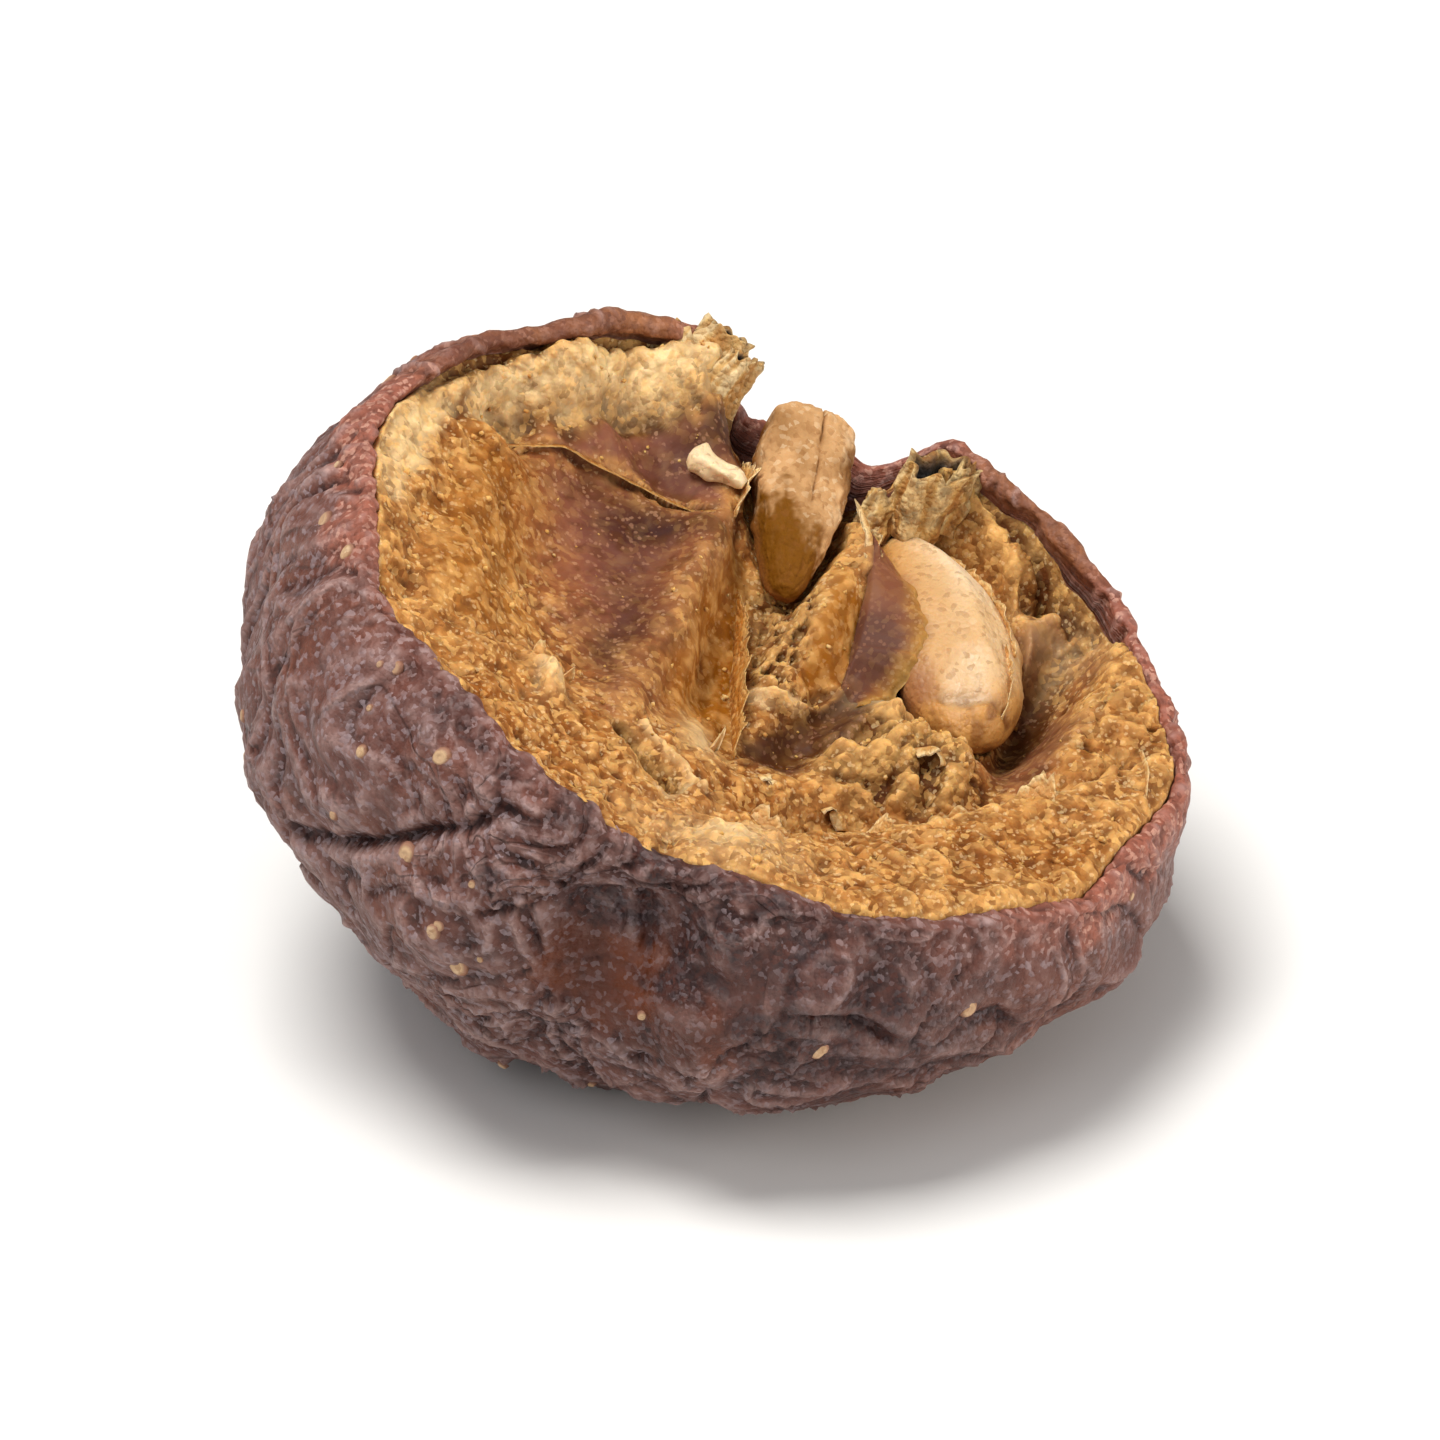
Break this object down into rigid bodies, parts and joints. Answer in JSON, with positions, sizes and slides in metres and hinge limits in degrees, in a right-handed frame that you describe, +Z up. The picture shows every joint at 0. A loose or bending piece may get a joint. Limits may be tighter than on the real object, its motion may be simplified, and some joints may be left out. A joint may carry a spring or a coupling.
{
  "type": "dried hawthorn berry half",
  "caption": "Half of a dried hawthorn berry, cut lengthwise: a shallow cup of wrinkled maroon skin with amber flesh, emptied stone hollows and stones left in the core.",
  "frame": {"origin": "on the flat resting spot of the belly, straight under the middle of the fruit's body", "axes": "+Z up as it rests; +X towards the low side of the sloping cut face; +Y towards the calyx end of the core, away from the picture's camera"},
  "size_m": [0.0262, 0.0261, 0.017],
  "materials": {
    "dried_skin_and_flesh": "wrinkled maroon-brown skin with a grey bloom outside, granular amber flesh inside, matte to slightly waxy",
    "woody_stone": "dry light-tan woody stone, matte",
    "pale_stone": "smooth cream-coloured stone, satin"
  },
  "bodies": {
    "root": {"berry_half": "dried_skin_and_flesh", "stone_centre": "woody_stone", "stone_right": "pale_stone"}
  },
  "joints": []
}
